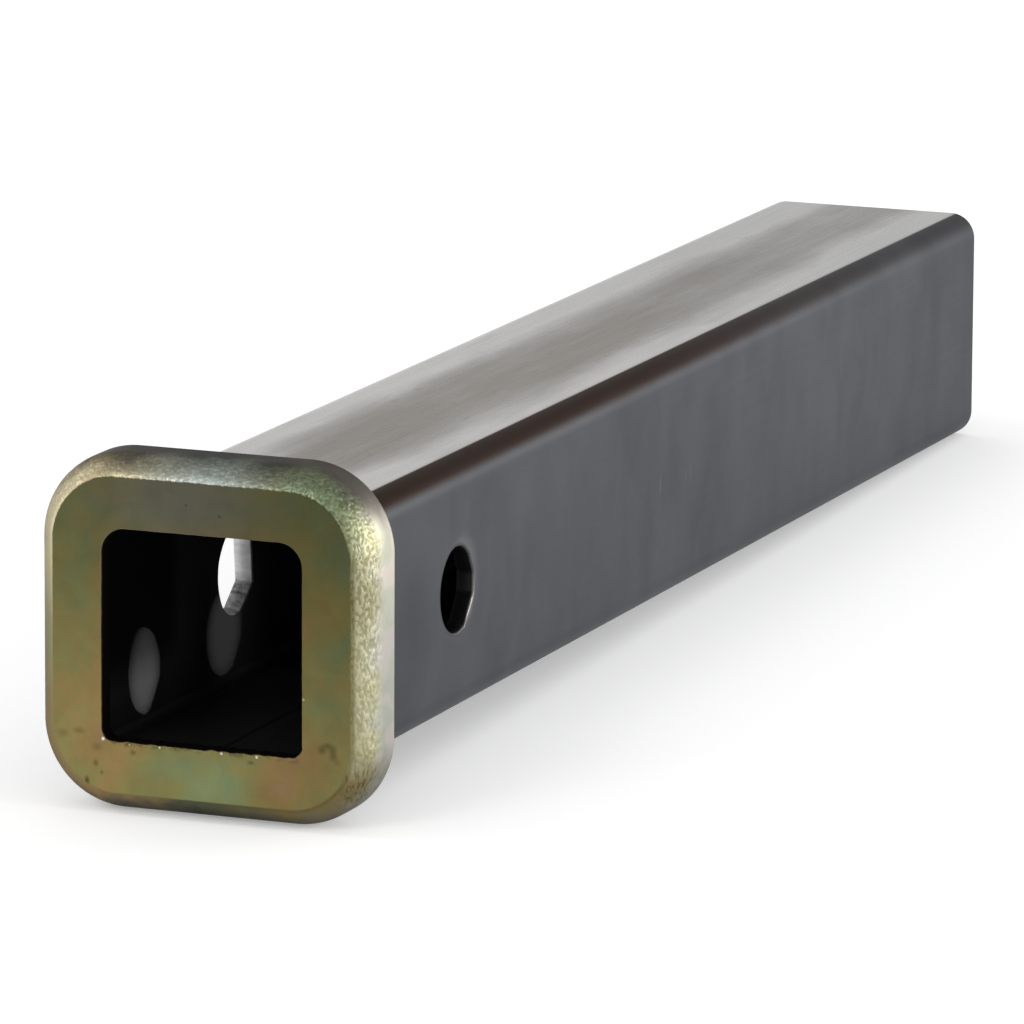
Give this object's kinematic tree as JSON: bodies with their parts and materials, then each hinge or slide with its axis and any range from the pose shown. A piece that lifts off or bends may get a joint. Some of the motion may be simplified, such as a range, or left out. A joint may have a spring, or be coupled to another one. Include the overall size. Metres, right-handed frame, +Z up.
{
  "type": "receiver tube",
  "caption": "Square steel receiver tube with a forged reinforcing collar welded round its open end and a cross hole for a hitch pin through both side walls.",
  "frame": {"origin": "where the axis of the cross pin hole crosses the axis of the square tube", "axes": "+Y back along the tube, away from the collar and the open end; +X along the pin hole's axis, to the right of someone who faces the open end; +Z up, away from the inside weld seam"},
  "size_m": [0.0564, 0.308, 0.0564],
  "materials": {
    "mill_steel": "hot-rolled mill surface, dull grey with a faint lengthwise grain, unpainted",
    "yellow_zinc": "forged steel under yellow zinc chromate, iridescent olive and gold, pebbled on the rolled edge and smooth on the faced front",
    "weld_metal": "unpainted rippled weld bead, dark grey"
  },
  "bodies": {
    "root": {"square_tube": "mill_steel", "reinforcing_collar": "yellow_zinc", "collar_weld": "weld_metal"}
  },
  "joints": []
}
